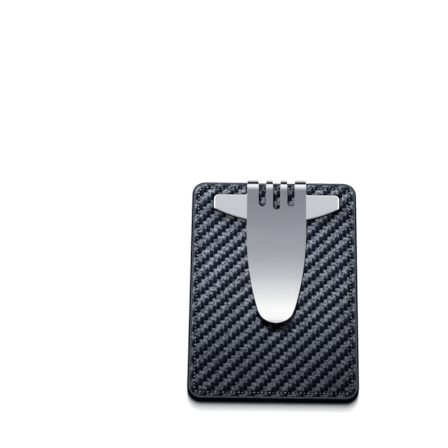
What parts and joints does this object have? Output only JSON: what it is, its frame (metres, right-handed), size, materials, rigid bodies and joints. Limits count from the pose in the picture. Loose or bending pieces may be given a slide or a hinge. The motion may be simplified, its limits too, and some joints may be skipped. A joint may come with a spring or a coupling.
{
  "type": "card case with money clip",
  "caption": "Slim leather card case with a scooped pocket and thumb slot on one face and a folded steel money clip on the other.",
  "frame": {"origin": "middle of the case in X and Y, on the plane of the flat pocket face", "axes": "+Z out of the clip face, +Y towards the mouth end where the clip bends back, X across the case"},
  "size_m": [0.07, 0.1, 0.0108],
  "materials": {
    "front_leather": "embossed twill weave, semi gloss",
    "pocket_leather": "embossed twill weave, semi gloss",
    "satin_steel": "polished to a soft sheen",
    "polished_steel": "mirror polished",
    "edge_paint": "smooth edge paint",
    "thread": "waxed thread",
    "board": "matt",
    "lining": "plain weave"
  },
  "bodies": {
    "case": {"front_leather": "front_leather", "front_perimeter_thread": "thread", "front_board": "board", "core_plate": "polished_steel", "edge_coat": "edge_paint", "pocket_spacer": "board", "mouth_facing": "pocket_leather", "pocket_lining": "lining", "pocket_leather": "pocket_leather", "pocket_perimeter_thread": "thread", "facing_perimeter_thread": "thread", "mouth_thread": "thread", "thumb_slot_thread": "thread", "clip_base_plate": "satin_steel", "clip_spring_finger_1": "satin_steel", "clip_spring_finger_2": "satin_steel", "clip_spring_finger_3": "satin_steel", "clip_spring_finger_4": "satin_steel", "clip_stud_left": "satin_steel", "clip_stud_right": "satin_steel"},
    "clip_arm": {"clip_tongue": "satin_steel"}
  },
  "joints": [
    {"name": "clip_flex", "type": "hinge", "parent": "case", "child": "clip_arm", "pos_m": [0.001, 0.0475, 0.00805], "axis": [-1, 0, 0], "range_deg": [0, 8], "stiffness_Nm_per_rad": 0.6, "springref_deg": -5.73, "deforming": ["clip_spring_finger_1", "clip_spring_finger_2", "clip_spring_finger_3", "clip_spring_finger_4"]}
  ]
}
